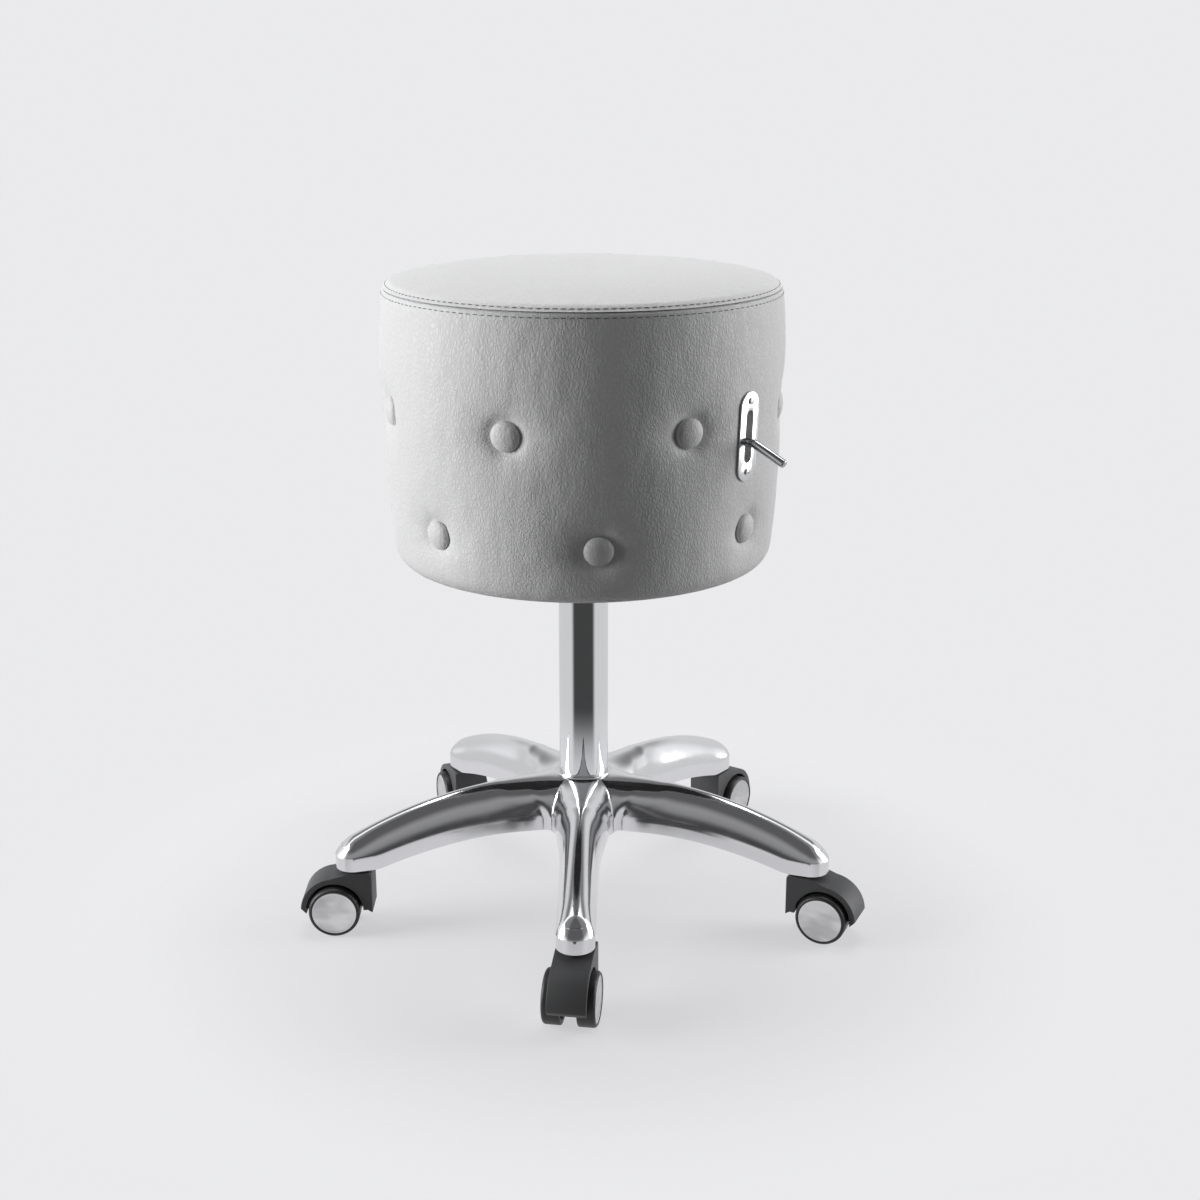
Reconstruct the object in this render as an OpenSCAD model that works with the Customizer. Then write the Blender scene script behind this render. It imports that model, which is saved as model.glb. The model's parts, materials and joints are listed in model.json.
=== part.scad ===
// Rolling stylist stool: upholstered drum seat on a gas lift, with a five-arm base on twin-wheel casters.
// Origin: on the floor, on the axis of the gas lift. +Z is up, and -Y is the front.

/* [Seat drum] */
// Height of the middle of the seat above the floor at the lowest setting
seat_height = 664; // [650:1:680]
// Height of the drum from its underside to the middle of the seat
drum_height = 285; // [280:1:290]
// Radius of the drum at its widest place
belly_r = 195.8; // [192:0.1:200]
// Height of the widest place above the drum's underside
belly_up = 204; // [190:1:215]
// Radius of the rounded edge around the seat
top_edge_r = 16; // [12:1:20]
// Radius of the rounded edge around the underside
bottom_edge_r = 14; // [10:1:18]
// Rise of the crowned seat from its edge to its middle
crown = 9; // [6:1:12]
// Thickness of the leatherette with its lining
cover_t = 2; // [1:0.5:3]

/* [Buttons] */
// Buttons in each of the two rows
row_buttons = 7; // [5:1:8]
// Radius of a button
button_r = 14; // [12:0.5:15]
// Direction of the upper row's first button, from the front towards +X
upper_turn = -20.8; // [-25:0.1:0]
// Height of the upper row above the drum's underside
upper_row_up = 155; // [150:1:160]
// Height of the lower row above the drum's underside
lower_row_up = 51.5; // [45:0.5:60]

/* [Lever] */
// Direction of the lever, from the front towards +X
lever_turn = 51.4; // [49:0.1:55]
// Radius of the lever rod
lever_r = 4; // [3.5:0.5:4.5]
// Length of the lever's lowered outer part
lever_drop_l = 34; // [25:1:45]
// Slope of the lever's outer part
lever_slope = 24; // [10:1:35]
// Height of the slotted plate
plate_h = 84; // [80:1:90]
// Width of the slotted plate
plate_w = 29; // [26:1:32]

/* [Gas lift] */
// Radius of the stand tube
tube_r = 25; // [25:0.5:26]
// Radius of the gas cylinder
cylinder_r = 14; // [13.5:0.5:14.5]
// Radius of the piston rod
rod_r = 5; // [4.5:0.5:5.5]

/* [Base] */
// Distance from the middle of the base to each caster stem
stem_reach = 243; // [235:1:250]
// Turn of the whole base, from the front towards +X
base_turn = -1.4; // [-5:0.1:5]
// Half of an arm's width at its end
arm_half_w = 18.5; // [17:0.5:20]
// Height of the hub's top above the floor
hub_top = 146; // [144:1:150]
// Radius of the hub
hub_r = 37; // [35:1:40]

/* [Casters] */
// Radius of a caster wheel
wheel_r = 26; // [25:0.5:27]
// Distance from the stem to the axle, measured level
trail = 19; // [17:0.5:21]
// Width over both wheels
caster_w = 51; // [49:0.5:53]
// Width of the hood
hood_w = 37; // [35:0.5:39]
// Directions that the five casters trail in, from the front towards +X
trail_turns = [-9, 66, 145, -160, -90]; // [-180:1:180]

/* [Hidden] */
$fn = 96;
nudge = 1;              // cutters stand out by this much
run_gap = 0.05;         // radial clearance of running fits
arms = 5;
seat_z = seat_height;
under_z = seat_height - drum_height;
belly_z = under_z + belly_up;
edge_z = seat_z - crown - top_edge_r + 0.5;
seam_z = edge_z + 5.5;
upper_pinch = 0.0084;   // how fast the drum narrows above the belly
lower_pinch = 0.0038;   // and below it
flat_r = 60;            // the level middle of the seat
edge_steps = 5;
side_steps = 9;
crown_steps = 4;
board_r = 172;
shell_in_r = 166;
bottom_board_t = 10;
seat_board_t = 12;
seat_board_z = seam_z - seat_board_t;
flap_r = 150;           // the side cover folds in under the drum as far as this
dust_t = 1.8;
mechanism_z = under_z + 161;
mechanism_t = 3;
mechanism_w = 150;
bolt_reach = 60;
bolt_r = 4;
mount_board_t = 15;
pocket_r = button_r + 1.5;
button_back_r = 180.5;
button_rise = 8.5;
tie_r = 1.5;
toggle_r = 6;
toggle_t = 2.5;
lower_turn = upper_turn + 180 / row_buttons;
lever_z = under_z + 138;
slot_z = under_z + 143.5;
slot_h = 49;
slot_w = 10;
plate_t = 1.8;
plate_lean = 2.5;       // the plate leans with the drum's side
screw_reach = 33.2;
screw_r = 1.9;
screw_head_r = 3.4;
pivot_x = 40;
pivot_r = 3;
lever_inner_x = -8;
lever_bend_x = 201.4;
eye_r = 8;
eye_w = 30;
housing_half_w = 22;
housing_t = 3;
housing_back_x = -32;
housing_front_x = 76;
socket_r = 20;
socket_h = 38;
cylinder_top_z = under_z + 126;
cylinder_bottom_z = 107.3;
cylinder_in_r = cylinder_r - 2;
cylinder_taper = 1;
cylinder_plug_t = 18;
guide_t = 16;
pin_r = 4;
pin_top_z = lever_z - lever_r - 0.5;
pin_l = 36;
tube_t = 1.8;
tube_bottom_z = 84;
tube_top_z = under_z + 82;
tube_plate_t = 4;
tube_taper = 1;
bush_h = 61;
bush_lip = 3;
race_t = 2;
race_r = 12;
ball_r = 2.3;
ball_ring_r = 9;
balls = 9;
ball_gap = 4.8;
lower_race_z = tube_bottom_z + tube_plate_t;
upper_race_z = lower_race_z + race_t + ball_gap;
bump_z = upper_race_z + race_t;
bump_h = 10;
rod_bottom_z = 77;
clip_z = 80.4;
clip_t = 1.6;
clip_r = 9;
piston_t = 15;
piston_top_z = cylinder_top_z - cylinder_plug_t - 20;
hub_bottom = 80;
rim_r = 30;
rim_h = 3;
crest_x = 60;           // the arms' upper and lower arcs have their highest points here
crest_z = hub_top - 3;
crest_r = 417;
belly_arc_r = 520;
belly_arc_z = 94;
boss_bottom = 68.5;
arm_wall = 6;
socket_r_stem = 5.5;
socket_depth = 22;
stem_flange_r = 10.5;
stem_bottom = 41;
groove_depth = 0.6;
grip_z = 82;
grip_t = 2;
hood_top = 66;
hood_r = 34.5;
well_r = 29;
web_w = 14.6;
stem_side = 19.2;
hood_bottom = 25;
axle_r = 4;
axle_half_l = 20;
axle_boss_r = 9;
wheel_in = 7.8;         // from the caster's middle to a wheel's inner face
wheel_w = caster_w / 2 - wheel_in;
shoulder = 3.2;
shoulder_start = 9;
shoulder_steps = 6;
cap_r = 22.5;
cap_seat = 2.4;
cap_t = 1.6;
cap_rise = 0.6;

leather = [0.78, 0.78, 0.79];
foam = [0.93, 0.87, 0.62];
ply = [0.80, 0.66, 0.46];
steel = [0.62, 0.63, 0.65];
chromed = [0.84, 0.85, 0.87];
plastic = [0.20, 0.20, 0.21];
black = [0.08, 0.08, 0.08];

function ring_turns(count, first) = [for (k = [0:count - 1]) first + k * 360 / count];
arm_turns = ring_turns(arms, base_turn);
button_spots = concat(
    [for (turn = ring_turns(row_buttons, upper_turn)) [turn, under_z + upper_row_up]],
    [for (turn = ring_turns(row_buttons, lower_turn)) [turn, under_z + lower_row_up]]
);

caster_nodes = ["caster_hood", "caster_axle", "wheel_left", "wheel_right", "cap_left", "cap_right"];

// Places its children with their +X pointing in a direction counted from the front towards +X.
module facing(turn) {
    rotate([0, 0, turn - 90]) children();
}

module tube(outer, inner, height) {
    difference() {
        cylinder(r = outer, h = height);
        translate([0, 0, -nudge]) cylinder(r = inner, h = height + 2 * nudge);
    }
}

module across(radius, length) {
    rotate([90, 0, 0]) cylinder(r = radius, h = length, center = true);
}

module outwards(radius, length) {
    rotate([0, 90, 0]) cylinder(r = radius, h = length);
}

// ---- Seat drum ----

function side_r(z) = belly_r - (z > belly_z
    ? upper_pinch * pow(z - belly_z, 1.5)
    : lower_pinch * pow(belly_z - z, 1.5));

// Half of the drum's section, drawn in from its outside by an inset.
function drum_outline(inset) = let (
    low_z = under_z + bottom_edge_r,
    low_x = side_r(low_z) - bottom_edge_r,
    high_x = side_r(edge_z) - top_edge_r
) concat(
    [[0, under_z + inset]],
    [for (k = [0:edge_steps]) let (a = -90 + 90 * k / edge_steps)
        [low_x + (bottom_edge_r - inset) * cos(a), low_z + (bottom_edge_r - inset) * sin(a)]],
    [for (k = [1:side_steps - 1]) let (z = low_z + (edge_z - low_z) * k / side_steps)
        [side_r(z) - inset, z]],
    [for (k = [0:edge_steps]) let (a = 90 * k / edge_steps)
        [high_x + (top_edge_r - inset) * cos(a), edge_z + (top_edge_r - inset) * sin(a)]],
    [for (k = [1:crown_steps]) let (t = 1 - k / crown_steps)
        [flat_r + (high_x - flat_r) * t, seat_z - inset - (crown - 0.5) * t * t]],
    [[0, seat_z - inset]]
);

module drum_solid(inset) {
    rotate_extrude() polygon(drum_outline(inset));
}

module slab(low, high, radius = belly_r + 10) {
    translate([0, 0, low]) cylinder(r = radius, h = high - low);
}

module button_pockets() {
    for (spot = button_spots)
        facing(spot[0]) translate([button_back_r, 0, spot[1]]) outwards(pocket_r, 40);
}

module tie_bores() {
    for (spot = button_spots)
        facing(spot[0]) translate([shell_in_r - 10, 0, spot[1]]) outwards(tie_r, 60);
}

// Places its children on the slotted plate's back, with +X outwards.
module on_plate() {
    facing(lever_turn) translate([side_r(slot_z) + run_gap, 0, slot_z])
        rotate([0, plate_lean, 0]) children();
}

// The lever's obround slot, cut from inside the drum to outside it.
module lever_slot(width, height) {
    straight = height - width;
    facing(lever_turn) translate([shell_in_r - 10, 0, slot_z]) {
        translate([0, -width / 2, -straight / 2]) cube([50, width, straight]);
        for (end = [-1, 1]) translate([0, 0, end * straight / 2]) outwards(width / 2, 50);
    }
}

module screw_bores() {
    on_plate() for (end = [-1, 1]) translate([-26, 0, end * screw_reach]) outwards(screw_r, 40);
}

module top_cover() {
    color(leather) difference() {
        intersection() {
            drum_solid(0);
            slab(seam_z, seat_z + nudge);
        }
        drum_solid(cover_t);
    }
}

module side_cover() {
    color(leather) difference() {
        intersection() {
            drum_solid(0);
            slab(under_z - nudge, seam_z);
        }
        drum_solid(cover_t);
        slab(under_z - nudge, under_z + cover_t + nudge, flap_r);
        button_pockets();
        lever_slot(slot_w + 2, slot_h + 2);
        screw_bores();
    }
}

module seat_foam() {
    color(foam) intersection() {
        drum_solid(cover_t);
        slab(seam_z, seat_z);
    }
}

module side_foam() {
    color(foam) difference() {
        intersection() {
            drum_solid(cover_t);
            slab(under_z, seam_z);
        }
        slab(under_z, seat_z, board_r);
        button_pockets();
        tie_bores();
        lever_slot(slot_w + 2, slot_h + 2);
        screw_bores();
    }
}

module seat_board() {
    color(ply) slab(seat_board_z, seam_z, board_r);
}

module drum_shell() {
    low = under_z + cover_t + bottom_board_t;
    color(ply) difference() {
        translate([0, 0, low]) tube(board_r, shell_in_r, seat_board_z - low);
        tie_bores();
        lever_slot(slot_w + 2, slot_h + 2);
        screw_bores();
    }
}

module bottom_board() {
    color(ply) translate([0, 0, under_z + cover_t]) tube(board_r, tube_r + 7, bottom_board_t);
}

module dust_cover() {
    color(black) translate([0, 0, under_z + cover_t - dust_t]) tube(flap_r - 0.2, tube_r + 2, dust_t);
}

module tufting_buttons() {
    color(leather) for (spot = button_spots)
        facing(spot[0]) translate([button_back_r + 0.2, 0, spot[1]]) rotate([0, 90, 0]) {
            intersection() {
                cylinder(r = button_r, h = button_rise);
                translate([0, 0, button_rise - 2 * button_r]) sphere(r = 2 * button_r);
            }
            translate([0, 0, shell_in_r - toggle_t - button_back_r])
                cylinder(r = tie_r, h = button_back_r - shell_in_r + toggle_t);
            translate([0, 0, shell_in_r - toggle_t - button_back_r - 0.4])
                cylinder(r = toggle_r, h = toggle_t);
        }
}

module lever_plate() {
    straight = plate_h - plate_w;
    slot_straight = slot_h - slot_w;
    color(chromed) on_plate() difference() {
        union() {
            translate([0, -plate_w / 2, -straight / 2]) cube([plate_t, plate_w, straight]);
            for (end = [-1, 1]) translate([0, 0, end * straight / 2]) outwards(plate_w / 2, plate_t);
        }
        translate([-nudge, -slot_w / 2, -slot_straight / 2])
            cube([plate_t + 2 * nudge, slot_w, slot_straight]);
        for (end = [-1, 1]) {
            translate([-nudge, 0, end * slot_straight / 2]) outwards(slot_w / 2, plate_t + 2 * nudge);
            translate([-nudge, 0, end * screw_reach]) outwards(screw_r, plate_t + 2 * nudge);
        }
    }
}

module plate_screws() {
    head_t = 2;
    shank_l = 22;
    color(chromed) on_plate() for (end = [-1, 1]) translate([plate_t, 0, end * screw_reach]) {
        difference() {
            outwards(screw_head_r, head_t);
            for (turn = [0, 90]) translate([head_t, 0, 0]) rotate([turn, 0, 0])
                cube([1.6, 0.8, 3.6], center = true);
        }
        translate([-shank_l, 0, 0]) outwards(screw_r, shank_l + 0.1);
    }
}

// ---- Seat mechanism and lever ----

module bolt_bores() {
    facing(lever_turn) for (x = [-1, 1], y = [-1, 1])
        translate([x * bolt_reach, y * bolt_reach, mechanism_z - 10]) cylinder(r = bolt_r, h = 40);
}

module mount_board() {
    color(ply) difference() {
        slab(mechanism_z + mechanism_t, mechanism_z + mechanism_t + mount_board_t, shell_in_r);
        bolt_bores();
    }
}

module cylinder_cone(gap = 0) {
    translate([0, 0, cylinder_top_z - socket_h])
        cylinder(r1 = cylinder_r + gap, r2 = cylinder_r - cylinder_taper + gap, h = socket_h);
}

module seat_mechanism() {
    wall_h = mechanism_z - cylinder_top_z + housing_t;
    housing_l = housing_front_x - housing_back_x;
    color(steel) difference() {
        union() {
            facing(lever_turn) {
                translate([-mechanism_w / 2, -mechanism_w / 2, mechanism_z])
                    cube([mechanism_w, mechanism_w, mechanism_t]);
                for (side = [-1, 1])
                    translate([housing_back_x, side * (housing_half_w - housing_t / 2) - housing_t / 2,
                        cylinder_top_z - housing_t]) cube([housing_l, housing_t, wall_h]);
                translate([housing_back_x, -housing_half_w, cylinder_top_z - housing_t])
                    cube([-2 * housing_back_x, 2 * housing_half_w, housing_t]);
            }
            translate([0, 0, cylinder_top_z - socket_h]) cylinder(r = socket_r, h = socket_h);
        }
        cylinder_cone();
        bolt_bores();
        facing(lever_turn) translate([pivot_x, 0, lever_z]) across(pivot_r, 60);
    }
}

module mechanism_bolts() {
    head_r = 7.5;
    head_t = 5;
    color(steel) facing(lever_turn) for (x = [-1, 1], y = [-1, 1])
        translate([x * bolt_reach, y * bolt_reach, mechanism_z]) {
            translate([0, 0, -head_t]) cylinder(r = head_r, h = head_t, $fn = 6);
            translate([0, 0, -0.1]) cylinder(r = bolt_r, h = mechanism_t + mount_board_t + 0.1);
        }
}

module lever_pin() {
    color(steel) facing(lever_turn) translate([pivot_x, 0, lever_z])
        across(pivot_r, 2 * housing_half_w + 4);
}

module lever() {
    color(chromed) facing(lever_turn) translate([0, 0, lever_z]) difference() {
        union() {
            translate([lever_inner_x, 0, 0]) outwards(lever_r, lever_bend_x - lever_inner_x);
            translate([pivot_x, 0, 0]) across(eye_r, eye_w);
            translate([lever_bend_x, 0, 0]) {
                sphere(r = lever_r + 0.2);
                rotate([0, lever_slope, 0]) {
                    outwards(lever_r, lever_drop_l);
                    translate([lever_drop_l, 0, 0]) sphere(r = lever_r - 0.2);
                }
            }
        }
        translate([pivot_x, 0, 0]) across(pivot_r + run_gap, eye_w + 2 * nudge);
    }
}

// ---- Gas lift ----

module release_pin() {
    tip_h = 3;
    color(steel) {
        translate([0, 0, pin_top_z - tip_h]) cylinder(r1 = pin_r, r2 = 1.5, h = tip_h);
        translate([0, 0, pin_top_z - pin_l]) cylinder(r = pin_r, h = pin_l - tip_h);
    }
}

module gas_cylinder() {
    cone_z = cylinder_top_z - socket_h;
    color(black) difference() {
        union() {
            translate([0, 0, cylinder_bottom_z]) cylinder(r = cylinder_r, h = cone_z - cylinder_bottom_z);
            cylinder_cone();
        }
        translate([0, 0, cylinder_bottom_z - nudge])
            cylinder(r = cylinder_in_r, h = cylinder_top_z - cylinder_plug_t - cylinder_bottom_z + nudge);
        translate([0, 0, cylinder_top_z - cylinder_plug_t - nudge])
            cylinder(r = pin_r + run_gap, h = cylinder_plug_t + 2 * nudge);
    }
}

module cylinder_guide() {
    color(plastic) translate([0, 0, cylinder_bottom_z]) tube(cylinder_in_r, rod_r + run_gap, guide_t);
}

module piston_rod() {
    color(steel) {
        difference() {
            translate([0, 0, rod_bottom_z]) cylinder(r = rod_r, h = piston_top_z - rod_bottom_z);
            translate([0, 0, clip_z]) tube(rod_r + nudge, rod_r - 1, clip_t);
        }
        translate([0, 0, piston_top_z - piston_t]) cylinder(r = cylinder_in_r - run_gap, h = piston_t);
    }
}

module retaining_clip() {
    color(steel) translate([0, 0, clip_z]) tube(clip_r, rod_r - 1, clip_t);
}

module bump_stop() {
    color(black) translate([0, 0, bump_z]) tube(race_r, rod_r, bump_h);
}

module upper_race() {
    color(steel) translate([0, 0, upper_race_z]) tube(race_r, rod_r, race_t);
}

module lower_race() {
    color(steel) translate([0, 0, lower_race_z]) tube(race_r, rod_r + 0.3, race_t);
}

module thrust_balls() {
    color(steel) for (turn = ring_turns(balls, 0))
        facing(turn) translate([ball_ring_r, 0, lower_race_z + race_t + ball_gap / 2]) sphere(r = ball_r);
}

module stand_tube() {
    inner_r = tube_r - tube_t;
    taper_h = hub_top - tube_bottom_z;
    color(chromed) difference() {
        union() {
            translate([0, 0, tube_bottom_z])
                cylinder(r1 = tube_r - tube_taper, r2 = tube_r, h = taper_h);
            translate([0, 0, hub_top]) cylinder(r = tube_r, h = tube_top_z - hub_top);
        }
        translate([0, 0, tube_bottom_z + tube_plate_t])
            cylinder(r = inner_r - tube_taper, h = tube_top_z - bush_h - tube_bottom_z - tube_plate_t);
        translate([0, 0, tube_top_z - bush_h]) cylinder(r = inner_r, h = bush_h + nudge);
        translate([0, 0, tube_bottom_z - nudge])
            cylinder(r = rod_r + 0.1, h = tube_plate_t + 2 * nudge);
    }
}

module guide_bush() {
    color(plastic) difference() {
        union() {
            translate([0, 0, tube_top_z - bush_h]) cylinder(r = tube_r - tube_t, h = bush_h);
            translate([0, 0, tube_top_z]) cylinder(r = tube_r, h = bush_lip);
        }
        translate([0, 0, tube_top_z - bush_h - nudge])
            cylinder(r = cylinder_r + run_gap, h = bush_h + bush_lip + 2 * nudge);
    }
}

// ---- Base ----

// Side view of an arm: an arc above, an arc below and a level foot at the boss.
module arm_side() {
    intersection() {
        translate([crest_x, crest_z - crest_r]) circle(r = crest_r, $fn = 240);
        difference() {
            translate([0, boss_bottom]) square([stem_reach + arm_half_w + nudge, crest_z]);
            translate([crest_x, belly_arc_z - belly_arc_r]) circle(r = belly_arc_r, $fn = 240);
        }
    }
}

// Half-widths of an arm at distances from the middle.
module arm_plan(trim) {
    stations = [[20, 30], [60, 26.5], [110, 20.5], [165, 18.8], [stem_reach, arm_half_w]];
    polygon(concat(
        [for (s = stations) [s[0], s[1] - trim]],
        [for (k = [len(stations) - 1:-1:0]) [stations[k][0], trim - stations[k][1]]]
    ));
}

module arm() {
    intersection() {
        rotate([90, 0, 0]) linear_extrude(height = 80, center = true) arm_side();
        union() {
            linear_extrude(height = hub_top) arm_plan(0);
            translate([stem_reach, 0, 0]) cylinder(r = arm_half_w, h = hub_top);
        }
    }
    translate([stem_reach, 0, boss_bottom]) cylinder(r = arm_half_w, h = 20);
}

module arm_hollow() {
    hollow_start = hub_r + 8;
    hollow_end = stem_reach - arm_half_w - 8;
    intersection() {
        rotate([90, 0, 0]) linear_extrude(height = 80, center = true)
            translate([crest_x, crest_z - crest_r]) circle(r = crest_r - arm_wall, $fn = 240);
        linear_extrude(height = hub_top) arm_plan(arm_wall);
        translate([hollow_start, -40, 0]) cube([hollow_end - hollow_start, 80, hub_top]);
    }
}

module base_star() {
    taper_h = hub_top - tube_bottom_z;
    color(chromed) difference() {
        union() {
            translate([0, 0, hub_bottom]) cylinder(r = hub_r, h = crest_z - hub_bottom);
            translate([0, 0, crest_z]) cylinder(r = rim_r, h = rim_h);
            for (turn = arm_turns) facing(turn) arm();
        }
        for (turn = arm_turns) facing(turn) {
            arm_hollow();
            translate([stem_reach, 0, boss_bottom - nudge])
                cylinder(r = socket_r_stem, h = socket_depth + nudge);
        }
        translate([0, 0, tube_bottom_z]) cylinder(r1 = tube_r - tube_taper, r2 = tube_r, h = taper_h);
        translate([0, 0, hub_bottom - nudge])
            cylinder(r = tube_r - tube_taper, h = tube_bottom_z - hub_bottom + nudge);
        translate([0, 0, hub_top - 0.01]) cylinder(r = tube_r, h = nudge);
    }
}

module caster_stems() {
    color(steel) for (turn = arm_turns) facing(turn) translate([stem_reach, 0, 0]) {
        difference() {
            translate([0, 0, stem_bottom])
                cylinder(r = socket_r_stem, h = boss_bottom + socket_depth - stem_bottom);
            translate([0, 0, grip_z]) tube(socket_r_stem + nudge, socket_r_stem - groove_depth, grip_t);
        }
        translate([0, 0, hood_top + 0.1]) cylinder(r = stem_flange_r, h = boss_bottom - hood_top - 0.1);
    }
}

module grip_rings() {
    color(steel) for (turn = arm_turns) facing(turn) translate([stem_reach, 0, grip_z])
        tube(socket_r_stem, socket_r_stem - groove_depth, grip_t);
}

// ---- Casters ----

// Places its children at a caster's stem, with +X in the direction that it trails.
module at_caster(k) {
    facing(arm_turns[k - 1]) translate([stem_reach, 0, 0]) facing(trail_turns[k - 1] - arm_turns[k - 1] + 90)
        children();
}

module caster_hood(k) {
    color(plastic) at_caster(k) difference() {
        union() {
            intersection() {
                translate([trail, 0, wheel_r]) across(hood_r, hood_w);
                translate([0, -hood_w, hood_bottom]) cube([2 * hood_r, 2 * hood_w, hood_top]);
            }
            translate([-stem_side, -hood_w / 2, hood_bottom])
                cube([stem_side + 8, hood_w, hood_top - hood_bottom]);
            translate([trail, 0, wheel_r]) across(axle_boss_r, web_w);
        }
        for (side = [-1, 1]) translate([trail, side * (web_w / 2 + 20), wheel_r]) across(well_r, 40);
        translate([trail, 0, wheel_r]) across(axle_r, hood_w);
        translate([0, 0, stem_bottom - 0.5]) cylinder(r = socket_r_stem + run_gap, h = hood_top);
    }
}

module caster_axle(k) {
    color(steel) at_caster(k) translate([trail, 0, wheel_r]) across(axle_r, 2 * axle_half_l);
}

// Section of a wheel, from its inner face outwards, around its axle.
function wheel_outline() = concat(
    [[axle_r + run_gap, 0], [axle_boss_r, 0], [axle_boss_r, 4], [wheel_r - 6, 4], [wheel_r - 5, 0]],
    [[wheel_r - 1, 0], [wheel_r, 1]],
    [for (k = [0:shoulder_steps]) let (a = 90 * k / shoulder_steps)
        [wheel_r - shoulder * (1 - cos(a)), shoulder_start + (wheel_w - shoulder_start) * sin(a)]],
    [[cap_r, wheel_w], [cap_r, wheel_w - cap_seat], [wheel_r - 6, wheel_w - cap_seat]],
    [[wheel_r - 6, 8], [axle_boss_r, 8], [axle_boss_r, 13], [axle_r + run_gap, 13]]
);

module wheel(k, side) {
    color(black) at_caster(k) translate([trail, side * wheel_in, wheel_r])
        rotate([-side * 90, 0, 0]) rotate_extrude() polygon(wheel_outline());
}

module cap(k, side) {
    color(chromed) at_caster(k) translate([trail, side * (wheel_in + wheel_w - cap_seat), wheel_r])
        rotate([-side * 90, 0, 0]) rotate_extrude() polygon([
            [0, 0], [cap_r, 0], [cap_r, cap_t - 0.4], [cap_r - 1, cap_t],
            [cap_r - 3, cap_t + cap_rise * 0.4], [cap_r / 2, cap_t + cap_rise], [0, cap_t + cap_rise]
        ]);
}

base_star();
stand_tube();
guide_bush();
lower_race();
caster_stems();
grip_rings();
piston_rod();
upper_race();
thrust_balls();
bump_stop();
retaining_clip();
gas_cylinder();
cylinder_guide();
seat_mechanism();
mechanism_bolts();
mount_board();
seat_board();
drum_shell();
bottom_board();
dust_cover();
seat_foam();
side_foam();
top_cover();
side_cover();
tufting_buttons();
lever_plate();
plate_screws();
lever_pin();
lever();
release_pin();
for (k = [1:arms]) {
    caster_hood(k);
    caster_axle(k);
    wheel(k, 1);
    wheel(k, -1);
    cap(k, 1);
    cap(k, -1);
}
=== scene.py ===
import json
import math

import bpy
from mathutils import Matrix, Vector, noise
from mathutils.bvhtree import BVHTree


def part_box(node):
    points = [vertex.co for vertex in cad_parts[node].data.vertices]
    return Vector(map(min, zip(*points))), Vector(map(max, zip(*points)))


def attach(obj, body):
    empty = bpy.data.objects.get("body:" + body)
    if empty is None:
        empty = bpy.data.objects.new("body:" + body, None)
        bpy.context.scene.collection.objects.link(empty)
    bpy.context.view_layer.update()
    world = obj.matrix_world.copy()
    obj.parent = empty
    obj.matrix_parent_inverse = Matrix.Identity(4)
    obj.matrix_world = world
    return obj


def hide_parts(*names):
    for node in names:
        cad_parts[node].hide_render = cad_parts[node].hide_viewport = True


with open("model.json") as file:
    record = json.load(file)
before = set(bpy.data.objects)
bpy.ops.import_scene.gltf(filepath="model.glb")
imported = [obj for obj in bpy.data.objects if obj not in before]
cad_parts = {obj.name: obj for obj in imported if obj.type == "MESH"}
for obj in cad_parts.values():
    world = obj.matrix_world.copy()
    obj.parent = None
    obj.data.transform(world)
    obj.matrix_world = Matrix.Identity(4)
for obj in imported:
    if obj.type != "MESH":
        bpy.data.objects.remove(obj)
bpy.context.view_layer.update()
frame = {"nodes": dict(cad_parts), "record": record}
mm = 0.001


# Small tools

def clearPick():
    active = bpy.context.view_layer.objects.active
    if active and active.mode != "OBJECT":
        bpy.ops.object.mode_set(mode="OBJECT")
    bpy.ops.object.select_all(action="DESELECT")


def pick(*pieces):
    clearPick()
    for piece in pieces:
        piece.hide_set(False)
        piece.select_set(True)
    bpy.context.view_layer.objects.active = pieces[0]


def editing(piece, mode="VERT"):
    pick(piece)
    bpy.ops.object.mode_set(mode="EDIT")
    bpy.ops.mesh.select_mode(type=mode)
    bpy.ops.mesh.select_all(action="DESELECT")


def objectMode():
    bpy.ops.object.mode_set(mode="OBJECT")


# Selects vertices by their place, from inside edit mode and back into it.
def selectWhere(piece, rule):
    objectMode()
    for vertex in piece.data.vertices:
        vertex.select = rule(vertex.co)
    bpy.ops.object.mode_set(mode="EDIT")


def tidied(piece, gap=0.00001):
    editing(piece)
    bpy.ops.mesh.select_all(action="SELECT")
    bpy.ops.mesh.remove_doubles(threshold=gap)
    bpy.ops.mesh.normals_make_consistent(inside=False)
    objectMode()
    return piece


def finished(piece, kind, **settings):
    pick(piece)
    modifier = piece.modifiers.new(kind.lower(), kind)
    for key, value in settings.items():
        setattr(modifier, key, value)
    bpy.ops.object.modifier_apply(modifier=modifier.name)
    return piece


def smoothed(piece, angle=30):
    pick(piece)
    bpy.ops.object.shade_smooth_by_angle(angle=math.radians(angle))
    return piece


def added(name, shape, **settings):
    clearPick()
    getattr(bpy.ops.mesh, "primitive_" + shape + "_add")(**settings)
    piece = bpy.context.object
    piece.name = piece.data.name = name
    piece.data.transform(piece.matrix_world)
    piece.matrix_world = Matrix.Identity(4)
    return piece


def copied(piece, name, place=None):
    twin = piece.copy()
    twin.data = piece.data.copy()
    twin.name = twin.data.name = name
    bpy.context.collection.objects.link(twin)
    if place is not None:
        twin.data.transform(place)
    return twin


def joined(name, pieces):
    pick(*pieces)
    bpy.ops.object.join()
    pieces[0].name = pieces[0].data.name = name
    return pieces[0]


def dropped(piece):
    bpy.data.objects.remove(piece)


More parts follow.
